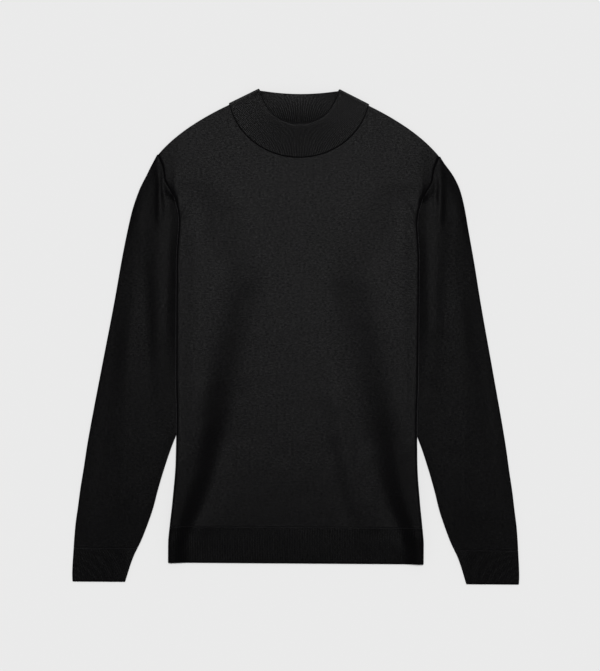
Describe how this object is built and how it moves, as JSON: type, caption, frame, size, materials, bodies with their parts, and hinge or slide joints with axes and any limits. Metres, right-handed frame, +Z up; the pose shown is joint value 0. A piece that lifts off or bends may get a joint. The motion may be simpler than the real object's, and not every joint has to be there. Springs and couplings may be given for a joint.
{
  "type": "turtleneck sweater",
  "caption": "Long-sleeved sweater in fine dark knit with a short ribbed stand collar, ribbed cuffs and ribbed hem, laid flat on its back with its sides folded under.",
  "frame": {"origin": "centre of the garment's outline, on the surface it lies on", "axes": "+Z up out of the front of the garment, +Y from the hem to the neck, +X to the wearer's left"},
  "size_m": [0.6706, 0.7413, 0.0137],
  "materials": {
    "jersey": "matt fine-gauge wool jersey, charcoal black",
    "rib_band": "matt fine rib knit, charcoal black",
    "collar_rib": "matt doubled rib knit, charcoal black"
  },
  "bodies": {
    "root": {"front_panel": "jersey", "back_panel": "jersey", "sleeve_right": "jersey", "sleeve_left": "jersey", "hem_front": "rib_band", "hem_back": "rib_band", "cuff_right": "rib_band", "cuff_left": "rib_band", "collar": "collar_rib"}
  },
  "joints": []
}
